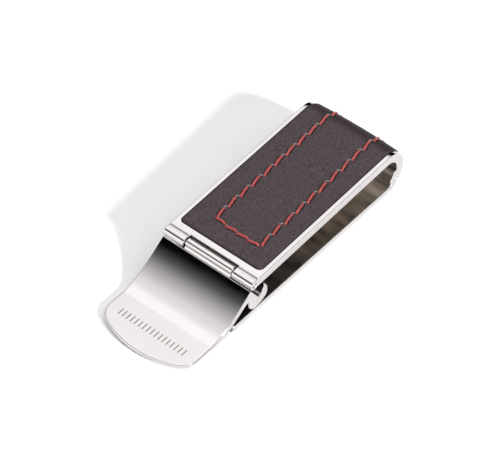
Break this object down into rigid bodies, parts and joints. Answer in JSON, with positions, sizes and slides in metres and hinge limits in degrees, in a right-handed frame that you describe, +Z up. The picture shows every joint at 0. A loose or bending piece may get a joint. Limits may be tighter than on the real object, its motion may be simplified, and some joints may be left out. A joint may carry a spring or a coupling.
{
  "type": "lever money clip",
  "caption": "Metal money clip with a stitched leather inlay wrapped over its bend, a thumb lever with a cam, and a spring strip closing the note slot.",
  "frame": {"origin": "middle of the clip's footprint, on the surface it lies on", "axes": "+X across the clip, +Y from the thumb lever towards the bend, +Z up out of the leather face"},
  "size_m": [0.024, 0.0762, 0.0126],
  "materials": {
    "polished_frame": "mirror polished",
    "polished_strip": "mirror polished spring steel",
    "polished_lever": "mirror polished",
    "pin_steel": "ground",
    "dark_leather": "fine grain, matte",
    "backing_board": "pressed fibre",
    "adhesive": "tacky film",
    "red_thread": "twisted waxed thread"
  },
  "bodies": {
    "strip": {"spring_strip": "polished_strip"},
    "frame": {"frame": "polished_frame", "leather_inlay": "dark_leather", "inlay_backing": "backing_board", "adhesive_film": "adhesive", "stitching_thread": "red_thread", "hinge_pin": "pin_steel"},
    "lever": {"thumb_lever": "polished_lever"}
  },
  "joints": [
    {"name": "strip_flex", "type": "hinge", "parent": "strip", "child": "frame", "pos_m": [0, 0.03133, 0.00586], "axis": [-1, 0, 0], "range_deg": [0, 2.5], "stiffness_Nm_per_rad": 6, "springref_deg": -0.57},
    {"name": "lever_hinge", "type": "hinge", "parent": "frame", "child": "lever", "pos_m": [0, -0.0137, 0.00896], "axis": [-1, 0, 0], "range_deg": [0, 110]}
  ]
}
